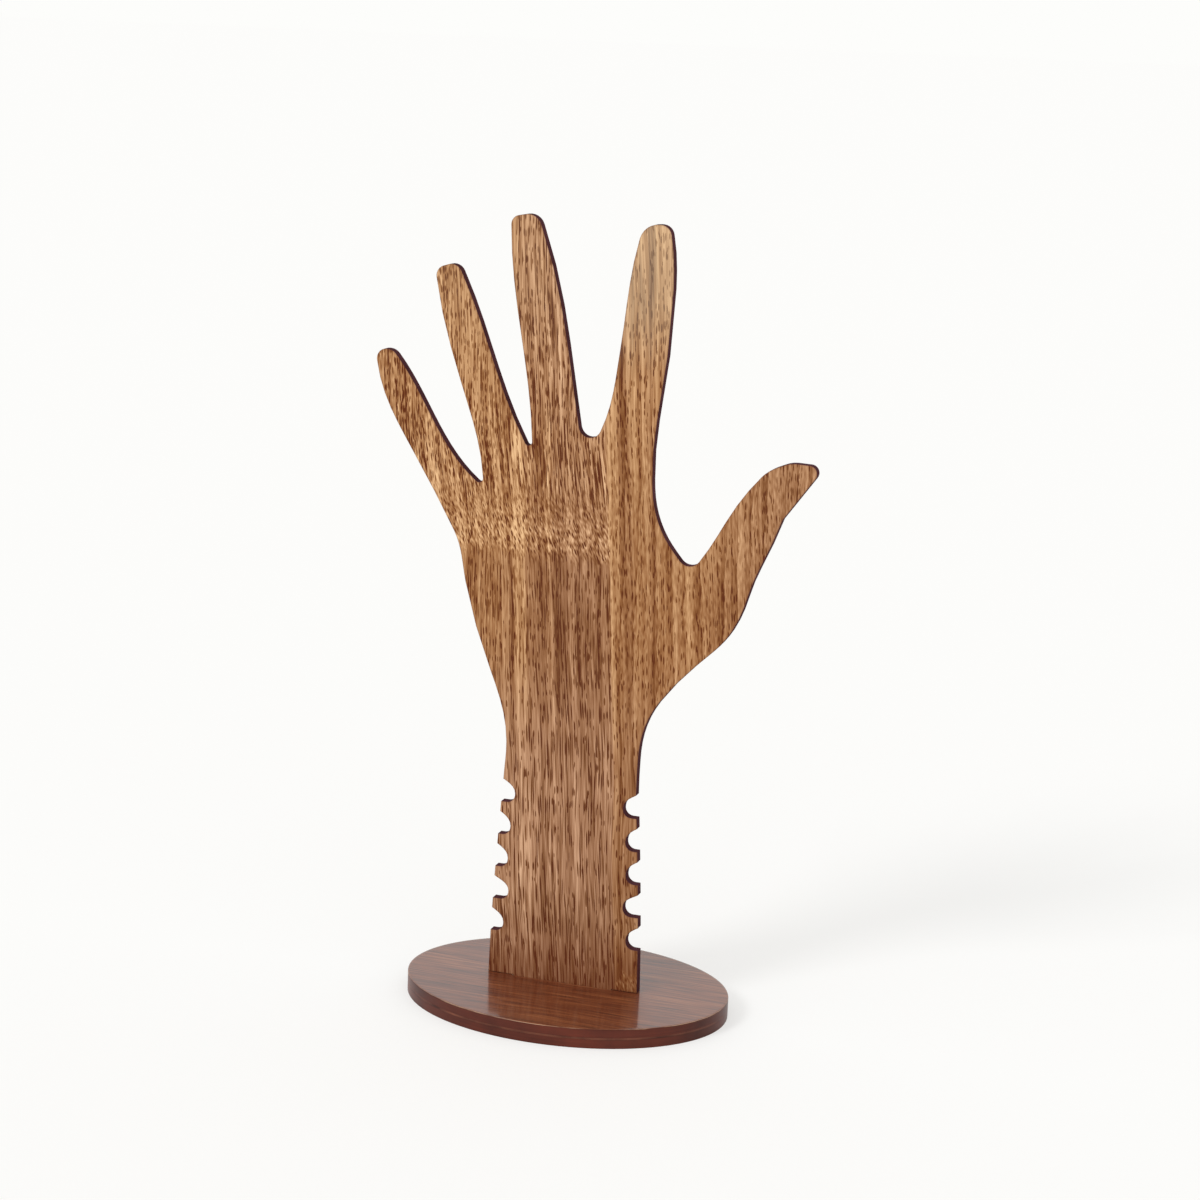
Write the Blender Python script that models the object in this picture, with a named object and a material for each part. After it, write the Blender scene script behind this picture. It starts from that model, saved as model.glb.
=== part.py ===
"""Hand jewelry display: a flat hand cut from veneered board, standing in a two-layer oval base.

Every sheet is a board core with a veneer glued to each face. The hand is one sheet. The base is two
oval sheets, the upper one with a slot through it and the lower one closed. A tab under the wrist
drops into the slot, and the wrist's shoulders rest on the base.

All sizes are in millimetres, and MM turns them into Blender's metres. The origin is the middle of
the base's underside. The hand stands in the XZ plane, its face looks to -Y and its thumb to +X.
"""

from collections import namedtuple
from math import asin, atan2, ceil, cos, degrees, hypot, pi, radians, sin

import bpy

MM = 0.001

# Sheet material: board core, face veneers and the glue between them
CORE_THICKNESS = 3.0
VENEER_THICKNESS = 0.35
GLUE_LINE = 0.05

# Oval base
BASE_LENGTH = 126.4
BASE_DEPTH = 92.8
OVAL_POINTS = 96

# Seat of the hand in the base: the shoulder beside the tab, and the gaps round the tab
WRIST_OFFSET = -1.4
TAB_SHOULDER = 10.2
TAB_SIDE_GAP = 0.15
TAB_END_GAP = 0.3
SEAT_GAP = 0.1

# Wrist: half of its width at the base and at the first notch, and how fast it narrows
WRIST_FOOT_HALF = 30.2
WRIST_TOP_HALF = 26.5
WRIST_CURVE = 1.5

# Notches for chains, the same on both sides of the wrist, from the top one down. Each has a sloping
# roof, a short upright wall, a round pocket, and a flat floor that runs out from the pocket.
LOWEST_NOTCH = 17.0
NOTCH_OPENING = 9.0
NOTCH_TOOTH = 4.0
NOTCH_FLOORS = (2.0, 1.4, 1.5, 2.8, 1.7)
NOTCH_SLOPE = 30.0
NOTCH_WALL = 0.5
NOTCH_POCKET_RADIUS = 3.2

# Above the top notch, places are measured from the wrist's middle line and from that notch's lip.

# A finger: where its middle line leaves the palm, its lean from upright towards the thumb, its
# length and tip width, the radii of its tip's two shoulders, and how much each side leans in there
Finger = namedtuple("Finger", "root_x root_z lean length width left_round right_round left_taper right_taper")
LITTLE_FINGER = Finger(-56.3, 111.0, -25.0, 54.6, 8.5, 3.8, 5.0, 16.0, 15.0)
RING_FINGER = Finger(-33.4, 125.0, -17.5, 71.7, 10.3, 3.9, 4.4, 8.0, 9.5)
MIDDLE_FINGER = Finger(-9.1, 131.6, -11.0, 83.5, 11.6, 3.4, 5.4, 9.5, 10.5)
INDEX_FINGER = Finger(22.2, 131.2, 2.0, 81.7, 12.1, 7.2, 4.2, 12.5, 14.0)

# A turn: the centre and radius of a bend in the outline, and the headings before and after it.
# A heading is in degrees clockwise from straight up, seen from the front. A radius of 0 is a point
# that the outline passes through.
Turn = namedtuple("Turn", "x z radius enter leave")
LITTLE_RING_WEB = Turn(-39.9, 115.0, 1.6, 128.0, -5.0)
RING_MIDDLE_WEB = Turn(-20.8, 130.3, 1.4, 150.0, -3.0)
MIDDLE_INDEX_WEB = Turn(2.9, 138.2, 4.4, 169.0, 24.0)
INDEX_THUMB_WEB = Turn(42.9, 94.2, 4.6, 140.0, 36.0)
THUMB_TIP = Turn(85.9, 127.7, 3.0, 90.0, 216.0)

# The palm's edge from the wrist to the little finger
WRIST_WAIST = Turn(-25.8, 15.0, 0.0, -2.0, -2.0)
HEEL = Turn(-33.1, 42.0, 0.0, -22.5, -22.5)
PALM_EDGE = Turn(-44.1, 75.0, 0.0, -13.0, -13.0)
LITTLE_KNUCKLE = Turn(-49.2, 94.0, 0.0, -28.5, -28.5)
LITTLE_SIDE = Turn(-66.0, 122.0, 0.0, -32.0, -32.0)

# The inner sides of the ring and index fingers, halfway up
RING_INNER = Turn(-48.3, 151.0, 0.0, -19.5, -19.5)
INDEX_INNER = Turn(13.3, 167.0, 0.0, 7.5, 7.5)

# The index finger's outer side down to the thumb
INDEX_SIDE = Turn(32.5, 190.0, 0.0, 180.0, 180.0)
INDEX_KNUCKLE = Turn(28.4, 142.0, 0.0, 187.5, 187.5)
PALM_SIDE = Turn(27.6, 120.0, 0.0, 178.0, 178.0)
THUMB_ROOT = Turn(32.0, 101.5, 0.0, 153.0, 153.0)

# The thumb's inner and outer sides, and the ball of the thumb down to the wrist
THUMB_INNER = Turn(56.1, 107.4, 0.0, 29.0, 29.0)
THUMB_BEND = Turn(68.5, 125.0, 0.0, 42.0, 42.0)
THUMB_TOP = Turn(77.0, 130.1, 0.0, 68.0, 68.0)
THUMB_JOINT = Turn(77.1, 110.1, 0.0, 216.0, 198.0)
THUMB_OUTER = Turn(69.7, 91.7, 0.0, 204.0, 204.0)
THUMB_KNUCKLE = Turn(65.5, 80.0, 0.0, 195.0, 195.0)
THUMB_BALL = Turn(60.4, 67.1, 0.0, 210.0, 210.0)
THUMB_HEEL = Turn(46.5, 51.6, 0.0, 225.0, 225.0)
WRIST_BEND = Turn(33.7, 36.7, 0.0, 215.0, 215.0)
THUMB_SIDE_WAIST = Turn(26.6, 13.0, 0.0, 181.0, 181.0)

# How the wrist's two edges lean at the top notch
WRIST_TOP_LEAN = 2.0

# Headings of the notches' straight edges
DOWN = 180.0
LEFT = 270.0
RIGHT = 90.0

# How finely the outline is drawn: degrees to a step on arcs and on free curves, how far a curve's
# handles reach, and the distance under which two points are one
ARC_STEP = 14.0
BEND_STEP = 5.0
HANDLE_SHARE = 0.36
POINT_MERGE = 0.01

# Finishes: colour, roughness
HAND_VENEER = ("walnut veneer", (0.43, 0.23, 0.11), 0.5)
BASE_VENEER = ("oiled base veneer", (0.27, 0.15, 0.11), 0.25)
BOARD_CORE = ("charred board core", (0.045, 0.022, 0.022), 0.7)

SHEET_THICKNESS = CORE_THICKNESS + 2 * (VENEER_THICKNESS + GLUE_LINE)
BASE_TOP = 2 * SHEET_THICKNESS + GLUE_LINE
TAB_DEPTH = SHEET_THICKNESS - TAB_END_GAP
TAB_HALF = WRIST_FOOT_HALF - TAB_SHOULDER
NOTCH_PITCH = NOTCH_OPENING + NOTCH_TOOTH
WRIST_TOP = LOWEST_NOTCH + NOTCH_OPENING + (len(NOTCH_FLOORS) - 1) * NOTCH_PITCH


def clear_scene():
    for item in list(bpy.data.objects):
        bpy.data.objects.remove(item, do_unlink=True)


def direction(heading):
    """Unit step along a heading."""
    return sin(radians(heading)), cos(radians(heading))


def turn_point(turn, heading):
    """Point of a turn where the outline has this heading."""
    side = 1 if turn.leave > turn.enter else -1
    along_x, along_z = direction(heading)
    return turn.x - side * turn.radius * along_z, turn.z + side * turn.radius * along_x


def arc_points(turn):
    """Points along a turn, its two ends included."""
    if turn.radius == 0:
        return [(turn.x, turn.z)]
    steps = max(1, ceil(abs(turn.leave - turn.enter) / ARC_STEP))
    sweep = turn.leave - turn.enter
    return [turn_point(turn, turn.enter + sweep * i / steps) for i in range(steps + 1)]


def bend_between(first, second):
    """Size of the corner between two steps, in degrees."""
    cross = first[0] * second[1] - first[1] * second[0]
    dot = first[0] * second[0] + first[1] * second[1]
    return abs(degrees(atan2(cross, dot)))


def span_points(start, start_heading, end, end_heading, step=BEND_STEP):
    """Points between two ends on a cubic curve that keeps both headings, ends left out."""
    reach = HANDLE_SHARE * hypot(end[0] - start[0], end[1] - start[1])
    out_x, out_z = direction(start_heading)
    in_x, in_z = direction(end_heading)
    pull_start = (start[0] + reach * out_x, start[1] + reach * out_z)
    pull_end = (end[0] - reach * in_x, end[1] - reach * in_z)
    corners = [start, pull_start, pull_end, end]
    legs = [(b[0] - a[0], b[1] - a[1]) for a, b in zip(corners, corners[1:])]
    bend = bend_between(legs[0], legs[1]) + bend_between(legs[1], legs[2])
    count = max(1, ceil(bend / step))
    points = []
    for i in range(1, count):
        t = i / count
        weights = ((1 - t) ** 3, 3 * t * (1 - t) ** 2, 3 * t * t * (1 - t), t ** 3)
        x = sum(weight * corner[0] for weight, corner in zip(weights, corners))
        z = sum(weight * corner[1] for weight, corner in zip(weights, corners))
        points.append((x, z))
    return points


def fingertip(finger):
    """The two shoulder turns of a finger's tip, joined by the line that touches both."""
    up_x, up_z = direction(finger.lean)
    across_x, across_z = up_z, -up_x
    end_x = finger.root_x + finger.length * up_x
    end_z = finger.root_z + finger.length * up_z

    def shoulder(offset, radius):
        return end_x + offset * across_x - radius * up_x, end_z + offset * across_z - radius * up_z

    left_x, left_z = shoulder(finger.left_round - finger.width / 2, finger.left_round)
    right_x, right_z = shoulder(finger.width / 2 - finger.right_round, finger.right_round)
    gap = hypot(right_x - left_x, right_z - left_z)
    bridge = finger.lean + 90
    if gap > abs(finger.left_round - finger.right_round):
        line = degrees(atan2(right_x - left_x, right_z - left_z))
        bridge = line + degrees(asin((finger.left_round - finger.right_round) / gap))
    return [
        Turn(left_x, left_z, finger.left_round, finger.lean + finger.left_taper, bridge),
        Turn(right_x, right_z, finger.right_round, bridge, finger.lean + 180 - finger.right_taper),
    ]


def wrist_half(z):
    """Half of the wrist's width at a height above the base."""
    return WRIST_FOOT_HALF + (WRIST_TOP_HALF - WRIST_FOOT_HALF) * (z / WRIST_TOP) ** WRIST_CURVE


def notched_edge():
    """The thumb side of the wrist from the top notch down to the base."""
    points = []
    for number, floor in enumerate(NOTCH_FLOORS):
        top = WRIST_TOP - number * NOTCH_PITCH
        bottom = top - NOTCH_OPENING
        pocket_x = wrist_half((top + bottom) / 2) - floor
        pocket_z = bottom + NOTCH_POCKET_RADIUS
        pocket = Turn(pocket_x, pocket_z, NOTCH_POCKET_RADIUS, DOWN, RIGHT)
        lip = (wrist_half(top), top)
        wall_top = (pocket_x - NOTCH_POCKET_RADIUS, pocket_z + NOTCH_WALL)
        points.append(lip)
        points += span_points(lip, LEFT - NOTCH_SLOPE, wall_top, DOWN, ARC_STEP)
        points.append(wall_top)
        points += arc_points(pocket)
        points.append((wrist_half(bottom), bottom))
    points.append((wrist_half(0), 0))
    return points


def hand_turns():
    """The hand's turns, clockwise from the wrist over the fingers and thumb back to the wrist."""
    return [
        Turn(-WRIST_TOP_HALF, 0.0, 0.0, WRIST_TOP_LEAN, WRIST_TOP_LEAN),
        WRIST_WAIST,
        HEEL,
        PALM_EDGE,
        LITTLE_KNUCKLE,
        LITTLE_SIDE,
        *fingertip(LITTLE_FINGER),
        LITTLE_RING_WEB,
        RING_INNER,
        *fingertip(RING_FINGER),
        RING_MIDDLE_WEB,
        *fingertip(MIDDLE_FINGER),
        MIDDLE_INDEX_WEB,
        INDEX_INNER,
        *fingertip(INDEX_FINGER),
        INDEX_SIDE,
        INDEX_KNUCKLE,
        PALM_SIDE,
        THUMB_ROOT,
        INDEX_THUMB_WEB,
        THUMB_INNER,
        THUMB_BEND,
        THUMB_TOP,
        THUMB_TIP,
        THUMB_JOINT,
        THUMB_OUTER,
        THUMB_KNUCKLE,
        THUMB_BALL,
        THUMB_HEEL,
        WRIST_BEND,
        THUMB_SIDE_WAIST,
        Turn(WRIST_TOP_HALF, 0.0, 0.0, DOWN - WRIST_TOP_LEAN, DOWN - WRIST_TOP_LEAN),
    ]


def drop_repeats(points):
    """Leave out a point that lies on the one before it."""
    kept = []
    for point in points:
        if not kept or hypot(point[0] - kept[-1][0], point[1] - kept[-1][1]) > POINT_MERGE:
            kept.append(point)
    return kept


def hand_outline():
    """Closed outline of the hand sheet, from the wrist's middle line and its foot."""
    turns = hand_turns()
    palm = []
    for turn, following in zip(turns, turns[1:]):
        palm += arc_points(turn)
        start = turn_point(turn, turn.leave)
        end = turn_point(following, following.enter)
        palm += span_points(start, turn.leave, end, following.enter)
    thumb_side = notched_edge()
    tab = [(TAB_HALF, 0), (TAB_HALF, -TAB_DEPTH), (-TAB_HALF, -TAB_DEPTH), (-TAB_HALF, 0)]
    little_side = [(-x, z) for x, z in reversed(thumb_side)]
    raised = [(x, z + WRIST_TOP) for x, z in palm]
    return drop_repeats(raised + thumb_side + tab + little_side[:-1])


def oval(length, depth):
    """Closed outline of the base."""
    angles = [2 * pi * i / OVAL_POINTS for i in range(OVAL_POINTS)]
    return [(length / 2 * cos(angle), depth / 2 * sin(angle)) for angle in angles]


def slot():
    """Hole that takes the hand's tab, with its side gap all round."""
    half_length = TAB_HALF + TAB_SIDE_GAP
    half_width = SHEET_THICKNESS / 2 + TAB_SIDE_GAP
    corners = [(-1, -1), (-1, 1), (1, 1), (1, -1)]
    return [(WRIST_OFFSET + sx * half_length, sy * half_width) for sx, sy in corners]


def make_material(finish):
    name, colour, roughness = finish
    material = bpy.data.materials.new(name)
    material.use_nodes = True
    shader = material.node_tree.nodes["Principled BSDF"]
    shader.inputs["Base Color"].default_value = (*colour, 1.0)
    shader.inputs["Roughness"].default_value = roughness
    material.diffuse_color = (*colour, 1.0)
    return material


def cut_layer(name, outlines, thickness, material, collection):
    """A flat layer cut along closed outlines, lying in its own XY plane around its origin."""
    curve = bpy.data.curves.new(name, "CURVE")
    curve.dimensions = "2D"
    curve.fill_mode = "BOTH"
    curve.extrude = thickness / 2 * MM
    for outline in outlines:
        spline = curve.splines.new("POLY")
        spline.points.add(len(outline) - 1)
        for point, (x, y) in zip(spline.points, outline):
            point.co = (x * MM, y * MM, 0.0, 1.0)
        spline.use_cyclic_u = True
    curve.materials.append(material)
    layer = bpy.data.objects.new(name, curve)
    collection.objects.link(layer)
    return layer


def sheet_layers(names, outlines, veneer, core, collection):
    """Core and two veneers of one sheet, with the offset of each layer from the sheet's middle."""
    veneer_offset = CORE_THICKNESS / 2 + GLUE_LINE + VENEER_THICKNESS / 2
    first, middle, last = names
    return [
        (cut_layer(first, outlines, VENEER_THICKNESS, veneer, collection), veneer_offset),
        (cut_layer(middle, outlines, CORE_THICKNESS, core, collection), 0.0),
        (cut_layer(last, outlines, VENEER_THICKNESS, veneer, collection), -veneer_offset),
    ]


def make_base(collection, veneer, core):
    """The two oval sheets of the base, the slotted one glued on the closed one."""
    base_oval = oval(BASE_LENGTH, BASE_DEPTH)
    lower_middle = SHEET_THICKNESS / 2
    upper_middle = lower_middle + SHEET_THICKNESS + GLUE_LINE
    lower = ("base_lower_top_veneer", "base_lower_core", "base_lower_bottom_veneer")
    upper = ("base_upper_top_veneer", "base_upper_core", "base_upper_bottom_veneer")
    for layer, offset in sheet_layers(lower, [base_oval], veneer, core, collection):
        layer.location = (0, 0, (lower_middle + offset) * MM)
    for layer, offset in sheet_layers(upper, [base_oval, slot()], veneer, core, collection):
        layer.location = (0, 0, (upper_middle + offset) * MM)


def make_hand(collection, veneer, core):
    """The hand sheet, standing on its tab, under an empty on the line along which it lifts out."""
    lift = bpy.data.objects.new("hand_lift", None)
    lift.location = (WRIST_OFFSET * MM, 0, (BASE_TOP + SEAT_GAP) * MM)
    collection.objects.link(lift)
    names = ("hand_front_veneer", "hand_core", "hand_back_veneer")
    for layer, offset in sheet_layers(names, [hand_outline()], veneer, core, collection):
        layer.parent = lift
        layer.rotation_euler = (radians(90), 0, 0)
        layer.location = (0, -offset * MM, 0)


def main():
    clear_scene()
    collection = bpy.data.collections.new("hand_jewelry_display")
    bpy.context.scene.collection.children.link(collection)
    core = make_material(BOARD_CORE)
    make_base(collection, make_material(BASE_VENEER), core)
    make_hand(collection, make_material(HAND_VENEER), core)
    bpy.context.view_layer.update()
    print("hand outline points:", len(hand_outline()))
    print("height over all:", round(BASE_TOP + SEAT_GAP + max(z for x, z in hand_outline()), 1), "mm")


main()
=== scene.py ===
# %% [markdown]
# A flat wooden display hand that stands on an oval base. The real one is cut by a laser from thin board
# with a walnut veneer glued to each face. Its layers are already solids at their real size: this script
# loads them as a fixed frame, gives each one the small details that cutting and sanding leave on its
# edges, and paints every surface with a procedural material. All patterns are worked out in
# millimetres, so that a pore in the picture is about as large as a pore in the wood.

# %% The frame
from collections import namedtuple
from math import pi, radians, tan

import bmesh
import bpy
from mathutils import Matrix, Vector


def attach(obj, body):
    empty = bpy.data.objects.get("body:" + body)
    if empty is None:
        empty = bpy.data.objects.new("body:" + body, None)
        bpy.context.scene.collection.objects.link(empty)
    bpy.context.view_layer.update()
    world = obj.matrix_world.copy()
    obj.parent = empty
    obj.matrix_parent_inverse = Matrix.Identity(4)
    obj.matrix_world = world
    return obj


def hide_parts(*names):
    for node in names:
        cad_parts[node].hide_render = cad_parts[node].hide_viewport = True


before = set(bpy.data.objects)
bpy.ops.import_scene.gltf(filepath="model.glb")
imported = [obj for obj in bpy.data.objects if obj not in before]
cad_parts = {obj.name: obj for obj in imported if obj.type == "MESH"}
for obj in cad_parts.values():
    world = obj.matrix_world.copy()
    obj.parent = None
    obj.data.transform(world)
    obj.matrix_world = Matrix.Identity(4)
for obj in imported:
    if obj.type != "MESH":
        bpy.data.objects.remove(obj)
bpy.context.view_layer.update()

MM = 0.001
print("frame:", sorted(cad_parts))

# %% [markdown]
# The camera stands a little to the right of the hand and looks slightly down on it. A camera has a
# place, three turns and a lens. The turns are put together as matrices: first the roll about the line
# of sight, then the tilt, then the turn about the upright axis, because that is how a photographer
# would say them, and each can then be changed by itself.

# %% Camera
CAMERA_PLACE = Vector((293.1, -901.4, 367.3)) * MM
CAMERA_TURN = 0.307
CAMERA_TILT = 0.217
CAMERA_ROLL = 0.039
CAMERA_LENS = 78.13

camera_data = bpy.data.cameras.new("photo camera")
camera_data.lens = CAMERA_LENS
camera_data.sensor_width = 36.0
camera_data.clip_end = 200.0
camera = bpy.data.objects.new("photo camera", camera_data)
turn = Matrix.Rotation(CAMERA_TURN, 4, "Z")
tilt = Matrix.Rotation(pi / 2 - CAMERA_TILT, 4, "X")
roll = Matrix.Rotation(CAMERA_ROLL, 4, "Z")
camera.matrix_world = Matrix.Translation(CAMERA_PLACE) @ turn @ tilt @ roll
bpy.context.scene.collection.objects.link(camera)
bpy.context.scene.camera = camera
bpy.context.scene.view_settings.view_transform = "Standard"
print("camera", round((CAMERA_PLACE - Vector((0, 0, 0.15))).length, 3), "m from the hand")

# %% [markdown]
# Colours are picked as sRGB hex values, the way a paint program shows them, but shaders calculate with
# linear light. One function turns the first into the second. Another small function adds a shader node
# with its settings and its links in one call, and gives back the node's output, so that the materials
# below read as recipes: each line takes some outputs and makes a new one of them.


# %% Helpers for materials
def linear(hex_colour):
    """Linear RGBA of an sRGB hex colour."""
    channels = [int(hex_colour[i : i + 2], 16) / 255 for i in (1, 3, 5)]
    parts = [c / 12.92 if c <= 0.04045 else ((c + 0.055) / 1.055) ** 2.4 for c in channels]
    return (*parts, 1.0)


def add_node(tree, kind, inputs=(), output=0, stops=(), **settings):
    """Adds a node and gives back one of its outputs.

    Inputs are a list in order or a dict by name, of sockets, numbers, vectors or hex colours. Stops are
    a colour ramp's, each a place and a colour.
    """
    node = tree.nodes.new("ShaderNode" + kind)
    for name, value in settings.items():
        setattr(node, name, value)
    for number, (place, tone) in enumerate(stops):
        points = node.color_ramp.elements
        point = points[number] if number < 2 else points.new(place)
        point.position = place
        point.color = linear(tone) if isinstance(tone, str) else tone
    sockets = [socket for socket in node.inputs if socket.enabled]
    named = inputs.items() if isinstance(inputs, dict) else enumerate(inputs)
    for key, value in named:
        socket = sockets[key] if isinstance(key, int) else node.inputs[key]
        if isinstance(value, bpy.types.NodeSocket):
            tree.links.new(value, socket)
        else:
            socket.default_value = linear(value) if isinstance(value, str) else value
    used = [socket for socket in node.outputs if socket.enabled]
    if not used:
        return node
    return used[output] if isinstance(output, int) else node.outputs[output]


def new_material(name):
    """An empty material and its node tree."""
    material = bpy.data.materials.new(name)
    material.use_nodes = True
    material.node_tree.nodes.clear()
    return material, material.node_tree


print("walnut brown in linear light:", [round(c, 3) for c in linear("#9b6b49")])

# %% [markdown]
# The studio is a very large white floor under a white sky. The sky gives soft light from all round, and
# one sun with a wide disc gives the hand a gentle shadow that falls behind it to the right. The floor
# is made whiter for the camera than light alone would make it: where a ray comes from the camera or
# from something glossy, part of the floor glows at full white. The light on the wood isn't changed by
# that, and the shadow stays.

# %% Floor, sky and sun
SKY_LIGHT = 0.75
SUN_LIGHT = 1.10
SUN_DISC = 16.0
SUN_PLACE = Vector((-0.62, -0.95, 0.80))
FLOOR_HALF = 60.0
FLOOR_GLOW = 0.55


def seen_directly(tree):
    """1 for a ray from the camera, or one mirrored or let through by a glossy or clear surface."""
    camera_ray = add_node(tree, "LightPath", output="Is Camera Ray")
    glossy_ray = add_node(tree, "LightPath", output="Is Glossy Ray")
    clear_ray = add_node(tree, "LightPath", output="Is Transmission Ray")
    mirrored = add_node(tree, "Math", [glossy_ray, clear_ray], operation="MAXIMUM")
    return add_node(tree, "Math", [camera_ray, mirrored], operation="MAXIMUM")


world = bpy.data.worlds.new("white studio")
world.use_nodes = True
bpy.context.scene.world = world
sky = world.node_tree
sky.nodes.clear()
soft_sky = add_node(sky, "Background", {"Color": "#fffefc", "Strength": SKY_LIGHT})
seen_sky = add_node(sky, "Background", {"Color": "#fdfdfb", "Strength": 1.0})
add_node(sky, "OutputWorld", [add_node(sky, "MixShader", [seen_directly(sky), soft_sky, seen_sky])])

sun_data = bpy.data.lights.new("soft sun", "SUN")
sun_data.energy = SUN_LIGHT
sun_data.angle = radians(SUN_DISC)
sun = bpy.data.objects.new("soft sun", sun_data)
sun.rotation_euler = SUN_PLACE.to_track_quat("Z", "Y").to_euler()
bpy.context.scene.collection.objects.link(sun)

floor_paint, paint = new_material("matt white floor")
lit = add_node(paint, "BsdfDiffuse", {"Color": "#ffffff"})
glow = add_node(paint, "Emission", {"Color": "#fffffd", "Strength": 1.0})
glow_share = add_node(paint, "Math", [seen_directly(paint), FLOOR_GLOW], operation="MULTIPLY")
add_node(paint, "OutputMaterial", [add_node(paint, "MixShader", [glow_share, lit, glow])])

bpy.ops.object.select_all(action="DESELECT")
bpy.ops.mesh.primitive_plane_add(size=2 * FLOOR_HALF, location=(0, 0, 0))
floor = bpy.context.object
floor.name = "studio_floor"
floor.data.materials.append(floor_paint)
print("floor at z =", floor.location.z)

# %% [markdown]
# Each sheet of the real object is a sandwich, and each layer is a solid of the frame. The solids have
# sharp edges and are made of loose triangles. A copy is merged, its flat faces are joined into one face
# each, and then it can be worked on as a joiner would: the rim of a veneer is broken with fine
# sandpaper, which is a tiny bevel here. Along the rim the laser's heat browned the wood. An inset cuts
# that narrow band free, and an attribute, 1 at the rim and 0 inside it, tells the material how brown to
# make it. An attribute is used because it follows any outline, which no pattern in space could do.

# %% Copying and cleaning a layer
MERGE_REACH = 0.002 * MM
FLAT_ANGLE = radians(0.3)
SMOOTH_ANGLE = radians(35)
print("points closer than", MERGE_REACH / MM, "mm are merged")


def edit_mode(piece, kind):
    """Opens one piece in edit mode with nothing selected."""
    bpy.ops.object.select_all(action="DESELECT")
    piece.select_set(True)
    bpy.context.view_layer.objects.active = piece
    bpy.ops.object.mode_set(mode="EDIT")
    bpy.ops.mesh.select_mode(type=kind)
    bpy.ops.mesh.select_all(action="DESELECT")


def clean_copy(node, name):
    """A merged copy of a CAD layer, with one face for each flat side."""
    piece = bpy.data.objects.new(name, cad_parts[node].data.copy())
    piece.data.materials.clear()
    bpy.context.scene.collection.objects.link(piece)
    edit_mode(piece, "VERT")
    bpy.ops.mesh.select_all(action="SELECT")
    bpy.ops.mesh.remove_doubles(threshold=MERGE_REACH)
    bpy.ops.mesh.dissolve_limited(angle_limit=FLAT_ANGLE)
    bpy.ops.mesh.normals_make_consistent(inside=False)
    bpy.ops.object.mode_set(mode="OBJECT")
    if piece.data.has_custom_normals:
        bpy.ops.mesh.customdata_custom_splitnormals_clear()
    print(name, "has", len(piece.data.vertices), "points and", len(piece.data.polygons), "faces")
    return piece


def finish_layer(piece, materials):
    """Smooth shading round the curves, and the materials, the first one all over."""
    bpy.ops.object.select_all(action="DESELECT")
    piece.select_set(True)
    bpy.context.view_layer.objects.active = piece
    bpy.ops.object.shade_smooth_by_angle(angle=SMOOTH_ANGLE)
    for material in materials:
        piece.data.materials.append(material)


# %% Breaking a rim and marking the browned band
RIM_BREAK = 0.10 * MM
BASE_RIM_BREAK = 0.18 * MM
BROWNED_BAND = 0.7 * MM

# How far a face's normal agrees with a direction: 1 is along it, and 0 is square to it.
FLAT_OUT = 0.999
OUTWARD = 0.9
SIDEWAYS = 0.1


def break_rim(piece, outward, radius, band):
    """Bevels the rim of the face that looks outward, and marks a band inside it as browned."""
    outward = Vector(outward)
    edit_mode(piece, "EDGE")
    shape = bmesh.from_edit_mesh(piece.data)
    for edge in shape.edges:
        sides = [face.normal.dot(outward) for face in edge.link_faces]
        edge.select_set(max(sides) > OUTWARD and min(sides) < SIDEWAYS)
    bmesh.update_edit_mesh(piece.data)
    bpy.ops.mesh.bevel(offset=radius, segments=2, profile=0.5, affect="EDGES")
    bpy.ops.mesh.select_mode(type="FACE")
    bpy.ops.mesh.select_all(action="DESELECT")
    shape = bmesh.from_edit_mesh(piece.data)
    for face in shape.faces:
        face.select_set(face.normal.dot(outward) > FLAT_OUT)
    bmesh.update_edit_mesh(piece.data)
    bpy.ops.mesh.inset(thickness=band, use_even_offset=True)
    shape = bmesh.from_edit_mesh(piece.data)
    inner = [vert.index for face in shape.faces if face.select for vert in face.verts]
    bpy.ops.object.mode_set(mode="OBJECT")
    browned = piece.data.attributes.new("browned", "FLOAT", "POINT")
    for item in browned.data:
        item.value = 1.0
    for index in inner:
        browned.data[index].value = 0.0
    print(piece.name, "rim", round(radius / MM, 2), "mm, band", round(band / MM, 2), "mm")


# %% The hand's three layers
hand_front = clean_copy("hand_front_veneer", "hand_front_leaf")
break_rim(hand_front, (0, -1, 0), RIM_BREAK, BROWNED_BAND)
hand_back = clean_copy("hand_back_veneer", "hand_back_leaf")
break_rim(hand_back, (0, 1, 0), RIM_BREAK, BROWNED_BAND)
hand_middle = clean_copy("hand_core", "hand_board")

# %% [markdown]
# The base is two such sheets, one on top of the other. Only its uppermost and its lowest leaf show a
# face. The two leaves in the middle show no more than their edges, so they need neither a broken rim nor
# a browned band, and merging is all that is done to them and to the boards.

# %% The base's six layers
base_top = clean_copy("base_upper_top_veneer", "base_top_leaf")
break_rim(base_top, (0, 0, 1), BASE_RIM_BREAK, BROWNED_BAND)
base_under = clean_copy("base_lower_bottom_veneer", "base_under_leaf")
break_rim(base_under, (0, 0, -1), RIM_BREAK, BROWNED_BAND)
base_boards = {
    "base_upper_core": clean_copy("base_upper_core", "base_upper_board"),
    "base_lower_core": clean_copy("base_lower_core", "base_lower_board"),
}
base_hidden = {
    "base_upper_bottom_veneer": clean_copy("base_upper_bottom_veneer", "base_upper_lining"),
    "base_lower_top_veneer": clean_copy("base_lower_top_veneer", "base_lower_lining"),
}

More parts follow.
